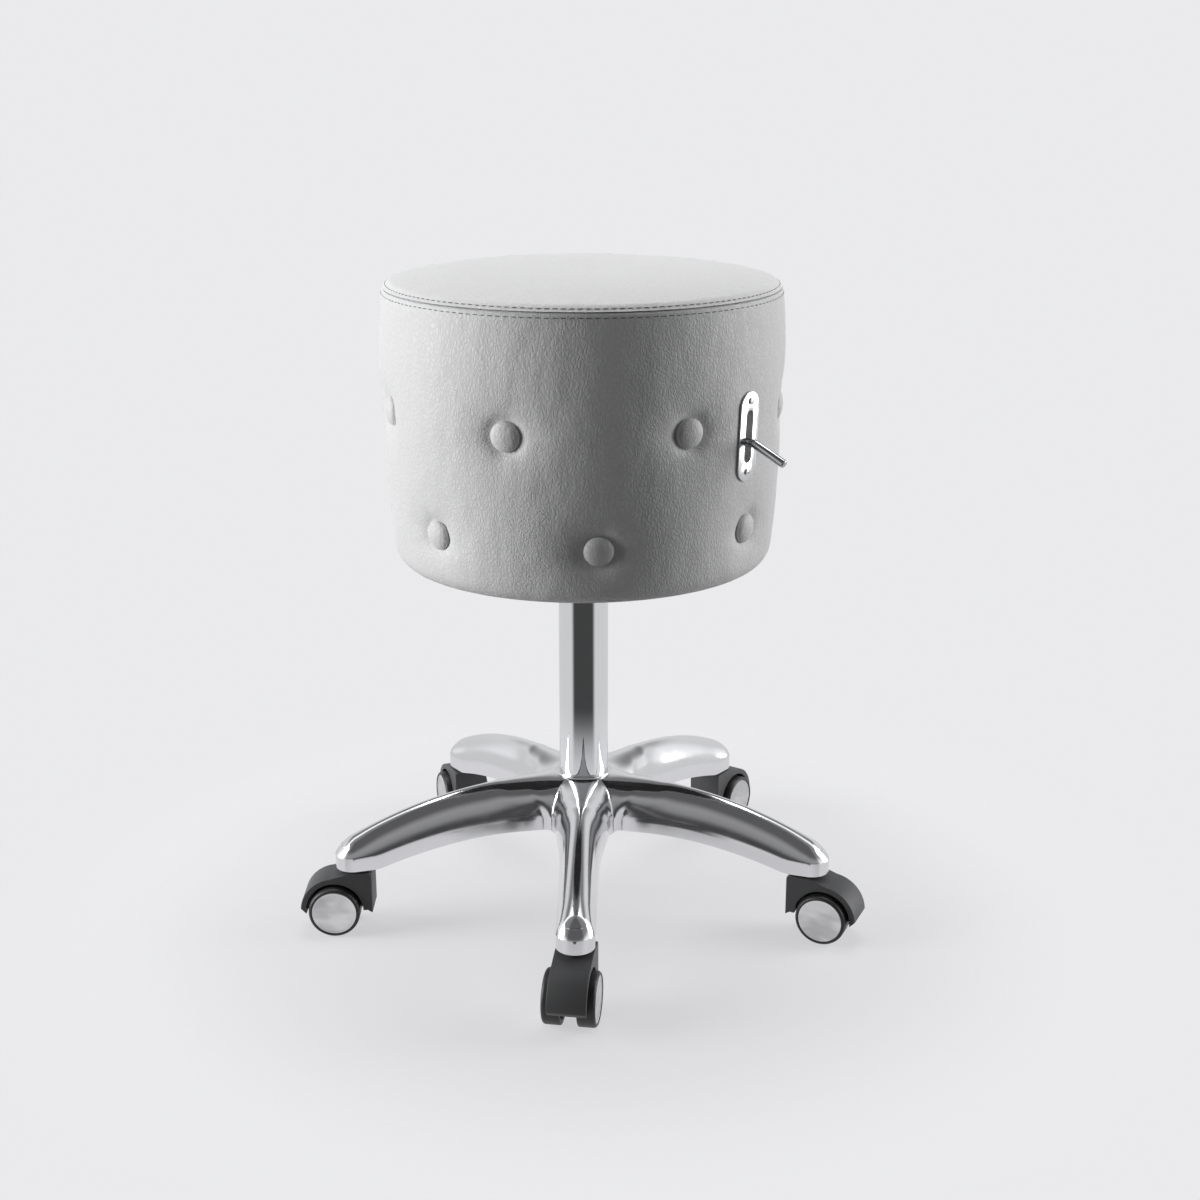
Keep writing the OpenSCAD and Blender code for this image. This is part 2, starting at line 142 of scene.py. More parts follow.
# A section of (radius, height) points in mm, spun around Z.
def turned(name, section, steps=96):
    piece = added(name, "plane", size=0.001)
    editing(piece)
    bpy.ops.mesh.select_all(action="SELECT")
    bpy.ops.mesh.merge(type="CENTER")
    here = Vector((section[0][0] * mm, 0, section[0][1] * mm))
    bpy.ops.transform.translate(value=here)
    for radius, height in section[1:]:
        there = Vector((radius * mm, 0, height * mm))
        bpy.ops.mesh.extrude_region_move(TRANSFORM_OT_translate={"value": there - here})
        here = there
    bpy.ops.mesh.select_all(action="SELECT")
    bpy.ops.mesh.spin(steps=steps, angle=2 * math.pi, center=(0, 0, 0), axis=(0, 0, 1))
    return tidied(piece)


# An outline of (x, z) points in mm, extruded along Y to a width and centred on it.
def slabOf(name, outline, width):
    piece = added(name, "circle", vertices=len(outline), radius=1, fill_type="NGON")
    for vertex, (x, z) in zip(piece.data.vertices, outline):
        vertex.co = (x * mm, -width / 2 * mm, z * mm)
    editing(piece)
    bpy.ops.mesh.select_all(action="SELECT")
    bpy.ops.mesh.extrude_region_move(TRANSFORM_OT_translate={"value": (0, width * mm, 0)})
    return tidied(piece)


# Rounds the edges that are sharper than an angle; the width is in mm.
def bevelled(piece, width, segments, angle):
    return finished(piece, "BEVEL", width=width * mm, segments=segments, limit_method="ANGLE",
        angle_limit=math.radians(angle))


def cutBy(piece, *cutters, solver="EXACT"):
    for cutter in cutters:
        finished(piece, "BOOLEAN", operation="DIFFERENCE", solver=solver, object=cutter)
        dropped(cutter)
    return piece


def arc(centreX, centreZ, radius, start, end, steps):
    angles = [math.radians(start + (end - start) * k / steps) for k in range(steps + 1)]
    return [(centreX + radius * math.cos(a), centreZ + radius * math.sin(a)) for a in angles]


def eased(low, high, value):
    share = min(1, max(0, (value - low) / (high - low)))
    return share * share * (3 - 2 * share)


def spun(degrees, axis):
    return Matrix.Rotation(math.radians(degrees), 4, axis)


# Turns +X to a direction counted from the front towards +X.
def facing(turn):
    return spun(turn - 90, "Z")


def moved(x, y, z):
    return Matrix.Translation((x * mm, y * mm, z * mm))


# Shader tools

class Value:
    def __init__(self, look, socket):
        self.look = look
        self.socket = socket

    def sums(self, operation, first, second=None):
        return self.look.node("ShaderNodeMath", {"operation": operation}, {0: first, 1: second})

    def __add__(self, other):
        return self.sums("ADD", self, other)

    __radd__ = __add__

    def __mul__(self, other):
        return self.sums("MULTIPLY", self, other)

    __rmul__ = __mul__

    def __sub__(self, other):
        return self.sums("SUBTRACT", self, other)

    def __rsub__(self, other):
        return self.sums("SUBTRACT", other, self)


class Look:
    def __init__(self, name, owner=None):
        self.material = owner or bpy.data.materials.new(name)
        self.material.use_nodes = True
        self.tree = self.material.node_tree
        self.tree.nodes.clear()

    def node(self, kind, settings, inputs, output=0):
        made = self.tree.nodes.new(kind)
        for key, value in settings.items():
            setattr(made, key, value)
        for key, value in inputs.items():
            if isinstance(value, Value):
                self.tree.links.new(value.socket, made.inputs[key])
            elif value is not None:
                made.inputs[key].default_value = value
        return Value(self, made.outputs[output]) if len(made.outputs) else made

    def place(self, stretch=(1, 1, 1), source="Object"):
        coordinates = self.node("ShaderNodeTexCoord", {}, {}, source)
        return self.node("ShaderNodeMapping", {}, {"Vector": coordinates, "Scale": stretch})

    def noise(self, where, scale, detail=3.0, roughness=0.55, twist=0.0):
        return self.node("ShaderNodeTexNoise", {}, {"Vector": where, "Scale": scale,
            "Detail": detail, "Roughness": roughness, "Distortion": twist})

    def cells(self, where, scale, feature="F1", randomness=1.0):
        return self.node("ShaderNodeTexVoronoi", {"feature": feature},
            {"Vector": where, "Scale": scale, "Randomness": randomness})

    def ranged(self, value, low, high, newLow=0.0, newHigh=1.0):
        return self.node("ShaderNodeMapRange", {"interpolation_type": "SMOOTHSTEP"},
            {"Value": value, "From Min": low, "From Max": high,
                "To Min": newLow, "To Max": newHigh})

    def blended(self, share, first, second):
        return self.node("ShaderNodeMix", {"data_type": "RGBA"},
            {0: share, 6: (*first, 1) if isinstance(first, tuple) else first,
             7: (*second, 1) if isinstance(second, tuple) else second}, 2)

    def bumped(self, height, strength, distance, normal=None):
        return self.node("ShaderNodeBump", {}, {"Height": height, "Strength": strength,
            "Distance": distance, "Normal": normal})

    def surface(self, **values):
        names = {key: key.replace("_", " ") for key in values}
        shader = self.node("ShaderNodeBsdfPrincipled", {}, {names[key]: (*value, 1)
            if isinstance(value, tuple) else value for key, value in values.items()})
        self.node("ShaderNodeOutputMaterial", {}, {"Surface": shader})
        return self.material


# Finishes

# The darker leather colour is painted shade for the creases between the pebbles.
leather = {"colour": (0.80, 0.80, 0.805), "creaseShade": (0.66, 0.66, 0.67), "pebble": 300,
    "roughness": 0.40}


# Light grey leatherette: uneven pebbles, longer from top to bottom, with fine creases between them
# that are painted darker as shade.
def leatherLook(name="leatheretteLook", stretch=(1.0, 1.0, 0.62)):
    look = Look(name)
    flat = look.place(stretch)
    wander = look.noise(flat, 90, 3.0, 0.6)
    bent = look.node("ShaderNodeVectorMath", {"operation": "MULTIPLY_ADD"},
        {0: look.node("ShaderNodeTexNoise", {}, {"Vector": flat, "Scale": 160.0, "Detail": 2.0}, 1),
         1: (0.006, 0.006, 0.006), 2: flat})
    pebbles = look.cells(bent, leather["pebble"], "DISTANCE_TO_EDGE")
    small = look.cells(bent, leather["pebble"] * 2.3, "DISTANCE_TO_EDGE")
    folds = look.noise(bent, 150, 4.0, 0.62, 0.4)
    patches = look.noise(look.place(), 14, 2.0, 0.5)
    domes = look.ranged(pebbles, 0.0, 0.28)
    tiny = look.ranged(small, 0.0, 0.2)
    height = domes * 0.5 + tiny * 0.16 + folds * 0.9 + wander * 0.7
    fine = look.bumped(height, 0.28, 0.0011)
    slow = look.bumped(look.noise(look.place((1, 1, 0.7)), 26, 3.0, 0.55), 0.25, 0.004, fine)
    # Painted shade: the colour darkens in the creases between pebbles, and also changes in random
    # patches.
    colour = look.blended((1 - domes) * 0.35 + patches * 0.15, leather["colour"], leather["creaseShade"])
    roughness = leather["roughness"] + patches * 0.12 + (1 - domes) * 0.12
    return look.surface(Base_Color=colour, Roughness=roughness, Normal=slow,
        Specular_IOR_Level=0.5, Sheen_Weight=0.05, Sheen_Roughness=0.5)


# Mirror-bright metal with faint polishing lines and a slow unevenness.
def brightLook(name, colour, roughness, waves, depth):
    look = Look(name)
    place = look.place()
    slow = look.noise(place, waves, 2.0, 0.5)
    fine = look.noise(look.place((1, 1, 0.08)), 900, 2.0, 0.6)
    hazeAndSheen = look.noise(place, 45, 4.0, 0.6)
    tint = look.blended(hazeAndSheen * 0.5, colour, tuple(c * 0.93 for c in colour))
    normal = look.bumped(slow, 0.5, depth, look.bumped(fine, 0.03, 0.0002))
    return look.surface(Base_Color=tint, Metallic=1.0, Normal=normal,
        Roughness=roughness + look.ranged(hazeAndSheen, 0.45, 0.8) * 0.06)


# Satin chrome, turned on a lathe: fine rings around the middle of each disc. Its colour is painted
# in soft light and dark clouds as a stand-in for the satin sheen.
def capLook():
    look = Look("capLook")
    disc = look.place((1, 1, 0), "UV")
    radius = look.node("ShaderNodeVectorMath", {"operation": "LENGTH"}, {0: disc}, 1)
    rings = look.node("ShaderNodeTexNoise", {"noise_dimensions": "1D"},
        {"W": radius, "Scale": 3200.0, "Detail": 2.0})
    # Painted sheen: lighter and darker clouds in the colour of each cap.
    hazeAndSheen = look.ranged(look.noise(look.place((1, 1, 2)), 24, 2.0), 0.35, 0.65)
    return look.surface(Base_Color=look.blended(hazeAndSheen, (0.74, 0.74, 0.74), (0.52, 0.52, 0.53)),
        Metallic=1.0, Roughness=0.2 + rings * 0.14, Normal=look.bumped(rings, 0.5, 0.0002))


# Moulded or sprayed plain parts: a fine texture over a slow change of colour.
def plainLook(name, colour, worn, roughness, grain, depth, metal=0.0, stretch=(1, 1, 1)):
    look = Look(name)
    place = look.place(stretch)
    fine = look.noise(place, grain, 4.0, 0.6)
    slow = look.noise(look.place(), 30, 3.0)
    scuffs = look.ranged(look.noise(look.place((1, 1, 3)), 120, 5.0, 0.7), 0.62, 0.8)
    tone = look.blended(slow * 0.5 + scuffs * 0.35, colour, worn)
    return look.surface(Base_Color=tone, Metallic=metal,
        Roughness=roughness + slow * 0.1 + fine * 0.08, Normal=look.bumped(fine, 0.35, depth))


# Beech plywood: growth lines on the faces and thin plies on the edges.
def plyLook():
    look = Look("plyLook")
    lines = look.noise(look.place((3, 40, 40)), 6, 6.0, 0.6, 0.6)
    plies = look.node("ShaderNodeTexWave", {"bands_direction": "Z", "wave_profile": "SIN"},
        {"Vector": look.place(), "Scale": 210.0, "Distortion": 0.4, "Detail": 2.0})
    grain = look.blended(lines, (0.66, 0.47, 0.28), (0.84, 0.69, 0.49))
    tone = look.blended(look.ranged(plies, 0.4, 0.7) * 0.35, grain, (0.42, 0.27, 0.15))
    return look.surface(Base_Color=tone, Roughness=0.55 + lines * 0.25,
        Normal=look.bumped(lines + plies * 0.4, 0.25, 0.0003))


# Black spun-bonded cloth under the drum: pressed dots in a matted web.
def clothLook():
    look = Look("dustClothLook")
    dots = look.cells(look.place(), 900, "F1", 0.0)
    web = look.noise(look.place((1, 1, 4)), 1500, 5.0, 0.7, 1.5)
    pressed = look.ranged(dots, 0.25, 0.42)
    return look.surface(Base_Color=look.blended(web, (0.012, 0.012, 0.012), (0.06, 0.06, 0.062)),
        Roughness=0.75 + web * 0.2, Normal=look.bumped(pressed * 0.8 + web * 0.3, 0.5, 0.0004))


# Open-cell foam.
def foamLook():
    look = Look("foamLook")
    pores = look.cells(look.place(), 1100, "SMOOTH_F1")
    slow = look.noise(look.place(), 20, 3.0)
    return look.surface(Base_Color=look.blended(slow, (0.86, 0.76, 0.45), (0.93, 0.86, 0.62)),
        Roughness=0.85 + pores * 0.1, Normal=look.bumped(pores, 0.6, 0.0006))


def threadLook():
    look = Look("threadLook")
    twist = look.node("ShaderNodeTexWave", {"bands_direction": "DIAGONAL"},
        {"Vector": look.place(), "Scale": 900.0, "Distortion": 1.0})
    return look.surface(Base_Color=look.blended(twist, (0.045, 0.043, 0.042), (0.10, 0.096, 0.094)),
        Roughness=0.6 + twist * 0.2, Normal=look.bumped(twist, 0.4, 0.0002))


looks = {
    "leatherette": leatherLook(),
    "polished_aluminium": brightLook("castLook", (0.80, 0.80, 0.815), 0.115, 14, 0.0006),
    "chromed_steel": brightLook("chromeLook", (0.84, 0.85, 0.86), 0.045, 9, 0.0006),
    "cap_chrome": capLook(),
    "hood_plastic": plainLook("hoodLook", (0.066, 0.067, 0.070), (0.088, 0.089, 0.092),
        0.40, 2600, 0.00025),
    "wheel_nylon": plainLook("wheelLook", (0.018, 0.018, 0.019), (0.045, 0.045, 0.046),
        0.34, 1800, 0.0002),
    "dark_plastic": plainLook("plasticLook", (0.035, 0.035, 0.037), (0.06, 0.06, 0.062),
        0.38, 2200, 0.0002),
    "bare_steel": plainLook("steelLook", (0.60, 0.61, 0.63), (0.48, 0.48, 0.49),
        0.24, 1300, 0.0001, 1.0, (1, 1, 0.05)),
    "black_rubber": plainLook("rubberLook", (0.02, 0.02, 0.02), (0.05, 0.05, 0.05),
        0.72, 1500, 0.0003),
    "black_paint": plainLook("paintLook", (0.022, 0.022, 0.024), (0.05, 0.05, 0.052),
        0.42, 700, 0.0004),
    "plywood": plyLook(),
    "dust_cloth": clothLook(),
    "padding": foamLook(),
}
threads = threadLook()
plateLook = brightLook("plateLook", (0.68, 0.68, 0.69), 0.14, 30, 0.0004)
rodLook = brightLook("rodLook", (0.46, 0.465, 0.475), 0.13, 30, 0.0005)


def dressed(piece, look):
    piece.data.materials.clear()
    piece.data.materials.append(look)
    return piece


for subpart in frame["record"]["subparts"]:
    node = frame["nodes"][subpart["node"]]
    for place in range(len(node.material_slots)):
        node.material_slots[place].material = looks[subpart["material_slot"]]
print("finishes made")


def placed(piece, body, slot, *nodes, look=None):
    dressed(piece, look or looks[slot])
    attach(piece, body)
    if nodes:
        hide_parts(*nodes)
    return piece


# Drum

drum = {"belly": 195.8, "bellyHeight": 583, "upperPinch": 0.0084, "lowerPinch": 0.0038,
    "edgeHeight": 639.5, "topRound": 16, "bottomRound": 14, "flat": 60, "crown": 8.5,
    "seam": 645, "inner": 172.4, "flap": 150.4, "coverDepth": 2, "turns": 224, "rows": 46,
    "swell": 0.6, "topSwell": 3.6, "roll": 7}
buttons = {"count": 7, "radius": 14, "rise": 8.2, "dome": 5.4, "sunk": 7.6, "held": 14.5,
    "flat": 12.5, "pucker": 4.6, "hollow": 15, "folds": 0.3, "farthest": 75, "upperTurn": -20.8,
    "upperHeight": 534, "lowerTurn": 4.914, "lowerHeight": 430.5}
plate = {"turn": 51.4, "height": 522.5, "lean": 2.5, "round": 14.5, "straight": 55, "slotRound": 5,
    "slotStraight": 39, "thick": 1.8, "screws": 33.2, "bedWidth": 16.5, "bedHeight": 44,
    "bedDepth": 0.35}
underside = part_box("side_cover")[0].z / mm
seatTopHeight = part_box("top_cover")[1].z / mm


def drumRadius(height):
    above = height - drum["bellyHeight"]
    pinch = drum["upperPinch"] if above > 0 else drum["lowerPinch"]
    return drum["belly"] - pinch * abs(above) ** 1.5


buttonSpots = [(buttons[row + "Turn"] + k * 360 / buttons["count"], buttons[row + "Height"])
    for row in ("upper", "lower") for k in range(buttons["count"])]
topRoundX = drumRadius(drum["edgeHeight"]) - drum["topRound"]
lowRoundZ = underside + drum["bottomRound"]
lowRoundX = drumRadius(lowRoundZ) - drum["bottomRound"]
seamAngle = math.degrees(math.asin((drum["seam"] - drum["edgeHeight"]) / drum["topRound"]))
seamX = topRoundX + drum["topRound"] * math.cos(math.radians(seamAngle))
platePlace = facing(plate["turn"]) @ moved(drumRadius(plate["height"]) + 0.05, 0, plate["height"]) \
    @ spun(plate["lean"], "Y")
plateInverse = platePlace.inverted()


# A point as its direction from the front, its radius and its height, in degrees and mm.
def rounded(point):
    turn = math.degrees(math.atan2(point.x, -point.y))
    return turn, math.hypot(point.x, point.y) / mm, point.z / mm


# The distance along the cover between two directions.
def around(turn, other, radius):
    return math.radians((turn - other + 180) % 360 - 180) * radius


# How far the buttons pull the cover in, and the radial folds that they draw.
def buttonPull(point):
    turn, radius, height = rounded(point)
    depth = 0
    for number, (spotTurn, spotHeight) in enumerate(buttonSpots):
        across = around(turn, spotTurn, radius)
        up = height - spotHeight
        if max(abs(across), abs(up)) > buttons["farthest"]:
            continue
        away = math.hypot(across, up)
        rim = max(0, away - buttons["flat"])
        depth += buttons["sunk"] * (0.66 * math.exp(-(rim / buttons["pucker"]) ** 2)
            + 0.34 * math.exp(-(rim / buttons["hollow"]) ** 2))
        folds = math.sin(6 * math.atan2(up, across) + number * 1.7) + 0.6 * math.sin(
            11 * math.atan2(up, across) + number * 2.9)
        depth += buttons["folds"] * folds * math.exp(-((away - 24) / 9) ** 2)
    return depth


# The cover lies flat behind the slotted plate, and a little way around it.
def underPlate(point):
    here = plateInverse @ point
    if here.x < -0.02:
        return point
    reach = max(abs(here.y) / mm / plate["bedWidth"], (abs(here.z) / mm) / plate["bedHeight"])
    share = 1 - eased(1.0, 1.45, reach)
    if share <= 0:
        return point
    here.x = min(here.x, here.x * (1 - share) - plate["bedDepth"] * mm * share)
    return platePlace @ here


# The finer mesh of the side needs a lighter cloth and more pressure than the seat to move as far.
cloths = {"side": {"mass": 0.03, "pressure": 200.0, "cap": 2.4},
    "top": {"mass": 0.3, "pressure": 4.0, "cap": 4.0},
    "stiffness": 40, "bending": 6, "quality": 6, "frames": 14}


def puffed(pieces, held, kinds):
    frames = cloths["frames"]
    for piece, isHeld, kind in zip(pieces, held, kinds):
        group = piece.vertex_groups.new(name="held")
        group.add([v.index for v in piece.data.vertices if isHeld(v.co)], 1.0, "REPLACE")
        cloth = piece.modifiers.new("cloth", "CLOTH")
        settings = cloth.settings
        settings.quality = cloths["quality"]
        settings.mass = kind["mass"]
        settings.vertex_group_mass = "held"
        settings.tension_stiffness = settings.compression_stiffness = cloths["stiffness"]
        settings.shear_stiffness = cloths["stiffness"] * 0.4
        settings.bending_stiffness = cloths["bending"]
        settings.use_pressure = True
        settings.uniform_pressure_force = kind["pressure"]
        settings.effector_weights.gravity = 0
        cloth.point_cache.frame_start, cloth.point_cache.frame_end = 1, frames
    for number in range(1, frames + 1):
        bpy.context.scene.frame_set(number)
    for piece in pieces:
        pick(piece)
        bpy.ops.object.modifier_apply(modifier="cloth")
        piece.vertex_groups.clear()
    bpy.context.scene.frame_set(1)


def capped(piece, start, cap):
    moves = []
    for vertex, before in zip(piece.data.vertices, start):
        step = vertex.co - before
        moves.append(step.length)
        if step.length > cap * mm:
            step.length = cap * mm
        vertex.co = before + step
    average = sum(moves) / len(moves)
    print(piece.name, "swelled by", round(max(moves) / mm, 2), "at most,",
        round(average / mm, 2), "on average")


def rumpled(piece, rule, amount, size):
    normals = [vertex.normal.copy() for vertex in piece.data.vertices]
    for vertex, normal in zip(piece.data.vertices, normals):
        if rule(vertex.co):
            flat = Vector((vertex.co.x, vertex.co.y, vertex.co.z * 0.6))
            height = noise.noise(flat * size) + 0.5 * noise.noise(flat * size * 2.3)
            vertex.co += normal * height * amount * mm


# The side cushion: its cover outside, the boards' room inside, and the flap under the drum.
def makeSide():
    outer = arc(topRoundX, drum["edgeHeight"], drum["topRound"], seamAngle, 0, 3)
    outer[0] = (outer[0][0] - 0.8, outer[0][1])
    outer.insert(1, (seamX - 0.1, drum["seam"] - 0.9))
    rows = drum["rows"]
    drop = drum["edgeHeight"] - lowRoundZ
    heights = [drum["edgeHeight"] - drop * k / rows for k in range(1, rows)]
    sides = [(drumRadius(z), z) for z in heights]
    low = arc(lowRoundX, lowRoundZ, drum["bottomRound"], 0, -90, 6)
    flapX, flapZ = drum["flap"], underside + drum["coverDepth"]
    flap = [(lowRoundX - 6, underside), (flapX + 5, underside), (flapX, underside + 0.4),
        (flapX, flapZ - 0.4), (flapX + 1, flapZ), (drum["inner"] - 1, flapZ),
        (drum["inner"], underside + 3)]
    inside = [(drum["inner"], underside + 3 + (drum["seam"] - 3 - underside) * k / 8)
        for k in range(1, 9)]
    section = outer + sides + low + flap + inside + [outer[0]]
    piece = turned("seatSide", section, drum["turns"])
    for vertex in piece.data.vertices:
        _, radius, height = rounded(vertex.co)
        if radius > drum["inner"] + 4 and height > underside + 5:
            slack = drum["swell"] * eased(drum["seam"] - 4, drum["seam"] - 30, height) * eased(
                lowRoundZ - 14, lowRoundZ + 14, height)
            pull = buttonPull(vertex.co) + slack
            out = Vector((vertex.co.x, vertex.co.y, 0)).normalized()
            vertex.co -= out * pull * mm
    return piece


# The seat cushion, with a flat underside on the seat board.
def makeTop():
    shoulder = topRoundX - drum["roll"]
    rise = [(drum["flat"] + (shoulder - drum["flat"]) * (1 - k / 9),
        seatTopHeight - drum["crown"] * (1 - k / 9) ** 2) for k in range(1, 10)]
    edge = [(shoulder + (x - topRoundX) * (1 + drum["roll"] / drum["topRound"]), z)
        for x, z in arc(topRoundX, drum["edgeHeight"], drum["topRound"], seamAngle, 90, 12)]
    edge[0] = (seamX - 0.8, drum["seam"] + 0.05)
    edge.insert(1, (seamX - 0.1, drum["seam"] + 0.95))
    middle = [(drum["flat"] * (1 - k / 6), seatTopHeight) for k in range(1, 7)]
    under = [(seamX - 0.8 - (seamX - 0.8) * k / 9, drum["seam"] + 0.05) for k in range(9, -1, -1)]
    piece = turned("seatTop", edge + rise + middle + under, drum["turns"])
    for vertex in piece.data.vertices:
        _, radius, height = rounded(vertex.co)
        if height > drum["seam"] + 1.5:
            vertex.co.z -= drum["topSwell"] * mm * (1 - eased(130, topRoundX + 8, radius))
    return piece


seatSide, seatTop = makeSide(), makeTop()
sideStart = [v.co.copy() for v in seatSide.data.vertices]
topStart = [v.co.copy() for v in seatTop.data.vertices]


# The cloth can't move at the seam, inside, under the drum and under the buttons.
def sideHeld(point):
    turn, radius, height = rounded(point)
    if radius < drum["inner"] + 2 or height > drum["seam"] - 5 or height < underside + 3:
        return True
    return any(math.hypot(around(turn, spotTurn, radius), height - spotHeight) < buttons["held"]
        for spotTurn, spotHeight in buttonSpots)


def topHeld(point):
    return point.z / mm < drum["seam"] + 7


print("drum turned")
puffed([seatSide, seatTop], [sideHeld, topHeld], [cloths["side"], cloths["top"]])
capped(seatSide, sideStart, cloths["side"]["cap"])
capped(seatTop, topStart, cloths["top"]["cap"])
for cushion in (seatSide, seatTop):
    finished(cushion, "SUBSURF", levels=1, render_levels=1)


def onCover(point):
    return rounded(point)[1] > drum["inner"] + 6


rumpled(seatSide, lambda p: onCover(p) and p.z / mm < drum["seam"] - 7, 0.30, 55)
rumpled(seatTop, lambda p: p.z / mm > drum["seam"] + 7, 0.25, 40)
for vertex in seatSide.data.vertices:
    if onCover(vertex.co):
        vertex.co = underPlate(vertex.co)


def obround(name, radius, straight, low, high):
    outline = [(x, z + straight / 2) for x, z in arc(0, 0, radius, 0, 180, 16)]
    outline += [(x, z - straight / 2) for x, z in arc(0, 0, radius, 180, 360, 16)]
    piece = slabOf(name, outline, high - low)
    piece.data.transform(spun(90, "Z"))
    piece.data.transform(moved((low + high) / 2, 0, 0))
    return tidied(piece)


slotCut = obround("slotCut", plate["slotRound"] + 1, plate["slotStraight"], -40, 20)
slotCut.data.transform(platePlace)
cutBy(seatSide, slotCut, solver="FAST")
smoothed(seatSide, 60)
smoothed(seatTop, 60)
placed(seatSide, "seat", "leatherette", "side_cover", "side_foam")
placed(seatTop, "seat", "leatherette", "top_cover", "seat_foam")
print("drum made")

# Stitches

stitching = {"count": 163, "length": 5.7, "thick": 0.8, "up": 3.3, "down": 4.4, "wander": 2.5}


def makeStitches(name, cushion, height):
    tree = BVHTree.FromObject(cushion, bpy.context.evaluated_depsgraph_get())
    thick = stitching["thick"]
    first = added("stitch", "uv_sphere", segments=6, ring_count=6, radius=0.5 * mm)
    first.data.transform(Matrix.Diagonal((thick, stitching["length"], thick * 0.9, 1)))
    copies = []
    for k in range(stitching["count"]):
        turn = math.radians(360 * k / stitching["count"])
        out = Vector((math.sin(turn), -math.cos(turn), 0))
        start = out * 0.23 + Vector((0, 0, height * mm))  # outside the drum
        spot, normal, _, _ = tree.ray_cast(start, -out)
        side = Vector((0, 0, 1)).cross(normal).normalized()
        upright = Matrix((normal, side, normal.cross(side))).transposed().to_4x4()
        tilt = spun(stitching["wander"] * math.sin(k * 2.3), "X")
        place = Matrix.Translation(spot + normal * 0.05 * mm) @ upright @ tilt
        copies.append(copied(first, "stitch", place))
    dropped(first)
    row = joined(name, copies)
    smoothed(row, 60)
    return placed(row, "seat", "leatherette", look=threads)


bpy.context.view_layer.update()
makeStitches("stitchesTop", seatTop, drum["seam"] + stitching["up"])
makeStitches("stitchesSide", seatSide, drum["seam"] - stitching["down"])
print("stitches made")

# Buttons

wide = buttons["radius"]
domed = [(0, buttons["rise"])] + [(wide * math.sin(math.radians(a)),
    buttons["rise"] - buttons["dome"] * (1 - math.cos(math.radians(a)))) for a in range(8, 81, 8)]
domed += [(wide, 3.2), (wide - 0.1, 1.9), (wide - 0.9, 0.8), (wide - 3, 0.2),
    (4, 0), (1.5, -0.5), (1.5, -17), (0, -17)]  # the shank
button = turned("button", domed, 40)
rumpled(button, lambda p: p.z > 1.2 * mm, 0.12, 160)
smoothed(button, 45)
buttonCopies = []
for number, (turn, height) in enumerate(buttonSpots):
    base = drumRadius(height) - buttons["sunk"] - 0.3
    slope = math.degrees(math.atan((drumRadius(height + 5) - drumRadius(height - 5)) / 10))
    place = facing(turn) @ moved(base, 0, height) @ spun(90 + slope, "Y") \
        @ spun(47 * number, "Z")
    buttonCopies.append(copied(button, "button", place))
dropped(button)
placed(joined("tuftingButtons", buttonCopies), "seat", "leatherette", "tufting_buttons")
print("buttons made")

# Lever and its plate

lever = {"height": 517, "radius": 4, "start": -8, "bendStart": 198.6, "bend": 13, "slope": 24,
    "outer": 34.6, "eye": 8, "eyeWidth": 15, "pinHole": 3.05, "pivot": 40, "endRound": 1.6}

leverPlate = obround("leverPlate", plate["round"], plate["straight"], 0, plate["thick"])
plateSlot = obround("plateSlot", plate["slotRound"], plate["slotStraight"], -1, plate["thick"] + 1)
cutBy(leverPlate, plateSlot)
bevelled(leverPlate, 0.65, 4, 50)
leverPlate.data.transform(platePlace)
placed(smoothed(leverPlate, 35), "seat", "chromed_steel", "lever_plate", look=plateLook)

screwHead = [(3.5 * math.sin(math.radians(a)), 0.5 + 1.4 * math.cos(math.radians(a)))
    for a in range(15, 91, 15)]
screw = turned("screw", [(0, 1.9)] + screwHead + [(3.5, 0), (1.9, 0), (1.9, -20), (0, -21.5)], 32)
for turn in (45, 135):
    blade = added("blade", "cube", size=1)
    blade.data.transform(spun(turn, "Z") @ moved(0, 0, 1.8)
        @ Matrix.Diagonal((3.8 * mm, 0.8 * mm, 1.8 * mm, 1)))
    cutBy(screw, blade)
smoothed(screw, 30)
screws = [copied(screw, "screw", platePlace @ moved(plate["thick"], 0, end * plate["screws"])
    @ spun(90, "Y")) for end in (-1, 1)]
dropped(screw)
placed(joined("plateScrews", screws), "seat", "chromed_steel", "plate_screws", look=plateLook)


# A straight rod, bent down and cut with a rounded end, with an eye for its pin.
def makeLever():
    slope = math.radians(lever["slope"])
    rod = added("leverRod", "circle", vertices=32, radius=lever["radius"] * mm, fill_type="NGON")
    rod.data.transform(moved(lever["start"], 0, 0) @ spun(90, "Y"))
    editing(rod, "FACE")
    bpy.ops.mesh.select_all(action="SELECT")
    bpy.ops.mesh.extrude_region_move(TRANSFORM_OT_translate={"value":
        ((lever["bendStart"] - lever["start"]) * mm, 0, 0)})
    bpy.ops.mesh.spin(steps=8, angle=slope, axis=(0, -1, 0),
        center=(lever["bendStart"] * mm, 0, -lever["bend"] * mm))
    bpy.ops.mesh.extrude_region_move(TRANSFORM_OT_translate={"value":
        (lever["outer"] * math.cos(slope) * mm, 0, -lever["outer"] * math.sin(slope) * mm)})
    tidied(rod)
    bevelled(rod, lever["endRound"], 5, 60)
    hole, wide, half = lever["pinHole"], lever["eye"], lever["eyeWidth"]
    eye = turned("leverEye", [(hole, -half), (wide - 0.8, -half), (wide, 0.8 - half),
        (wide, half - 0.8), (wide - 0.8, half), (hole, half), (hole, -half)], 48)
    eye.data.transform(moved(lever["pivot"], 0, 0) @ spun(90, "X"))
    whole = joined("leverRod", [rod, eye])
    whole.data.transform(facing(plate["turn"]) @ moved(0, 0, lever["height"]))
    return smoothed(whole, 35)


placed(makeLever(), "lever", "chromed_steel", "lever", look=rodLook)
print("lever made")

# Stand tube

